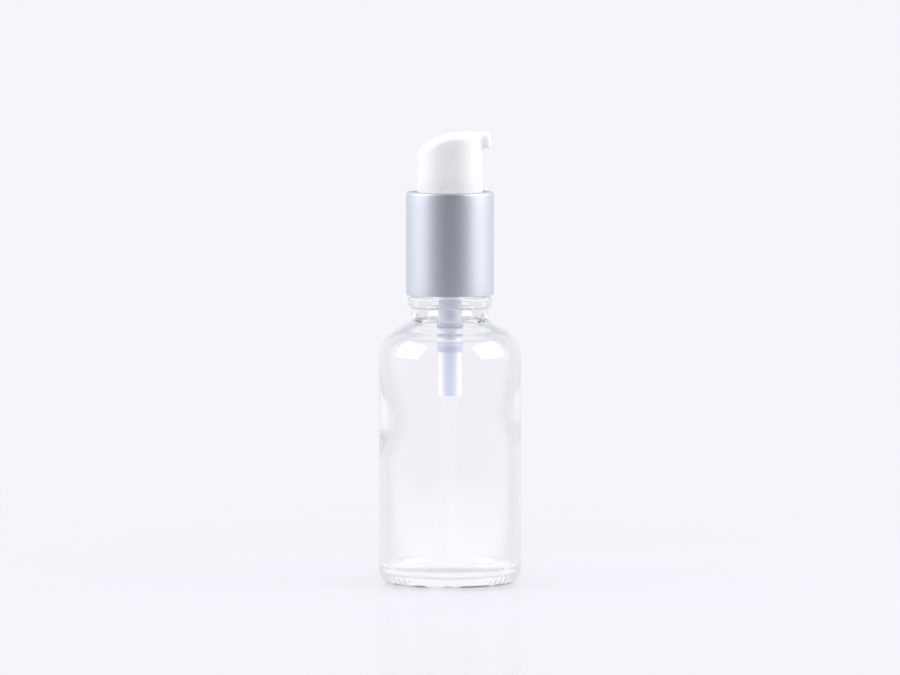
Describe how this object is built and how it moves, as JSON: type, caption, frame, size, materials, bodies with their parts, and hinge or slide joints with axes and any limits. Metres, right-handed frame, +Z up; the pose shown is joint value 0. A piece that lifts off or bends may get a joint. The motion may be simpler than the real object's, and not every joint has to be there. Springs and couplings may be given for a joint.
{
  "type": "pump oil bottle",
  "caption": "Small clear glass bottle with a press-down pump, satin aluminium collar and white spouted head, for dispensing massage oil by the drop.",
  "frame": {"origin": "centre of the base, on the surface that the bottle stands on", "axes": "+Z up along the bottle's axis, +X the way the spout points at rest"},
  "size_m": [0.033, 0.033, 0.1049],
  "materials": {
    "clear_glass": "clear, polished",
    "satin_aluminium": "satin anodised",
    "white_plastic": "moulded, semi-gloss",
    "natural_plastic": "translucent, moulded",
    "soft_plastic": "soft, moulded",
    "tube_plastic": "clear, extruded",
    "gasket_foam": "foamed, matte",
    "spring_steel": "drawn wire",
    "polished_steel": "polished"
  },
  "bodies": {
    "bottle": {"glass_bottle": "clear_glass"},
    "pump_core": {"pump_housing": "natural_plastic", "lock_ring": "white_plastic", "neck_gasket": "gasket_foam", "dip_tube": "tube_plastic", "main_spring": "spring_steel"},
    "closure": {"screw_closure": "white_plastic", "aluminium_collar": "satin_aluminium"},
    "plunger": {"stem": "natural_plastic", "valve_rod": "natural_plastic"},
    "actuator_head": {"actuator": "white_plastic"},
    "sliding_piston": {"piston": "soft_plastic"},
    "inlet_ball": {"check_ball": "polished_steel"}
  },
  "joints": [
    {"name": "pump_rise", "type": "slide", "parent": "bottle", "child": "pump_core", "axis": [0, 0, 1], "range_m": [0, 0.0045]},
    {"name": "closure_turn", "type": "hinge", "parent": "pump_core", "child": "closure", "pos_m": [0, 0, 0.073], "axis": [0, 0, 1], "range_deg": [0, 540]},
    {"name": "pump_stroke", "type": "slide", "parent": "pump_core", "child": "plunger", "axis": [0, 0, -1], "range_m": [0, 0.006], "stiffness_N_per_m": 745, "springref_m": -0.0027, "deforming": ["main_spring"]},
    {"name": "head_swivel", "type": "hinge", "parent": "plunger", "child": "actuator_head", "pos_m": [0, 0, 0.0965], "axis": [0, 0, 1], "continuous": true},
    {"name": "piston_shift", "type": "slide", "parent": "plunger", "child": "sliding_piston", "axis": [0, 0, 1], "range_m": [0, 0.0008]},
    {"name": "ball_lift", "type": "slide", "parent": "pump_core", "child": "inlet_ball", "axis": [0, 0, 1], "range_m": [0, 0.0012]}
  ],
  "couplings": [
    {"joint": "closure_turn", "follows": "pump_rise", "rad_per_m": 2094.4}
  ]
}
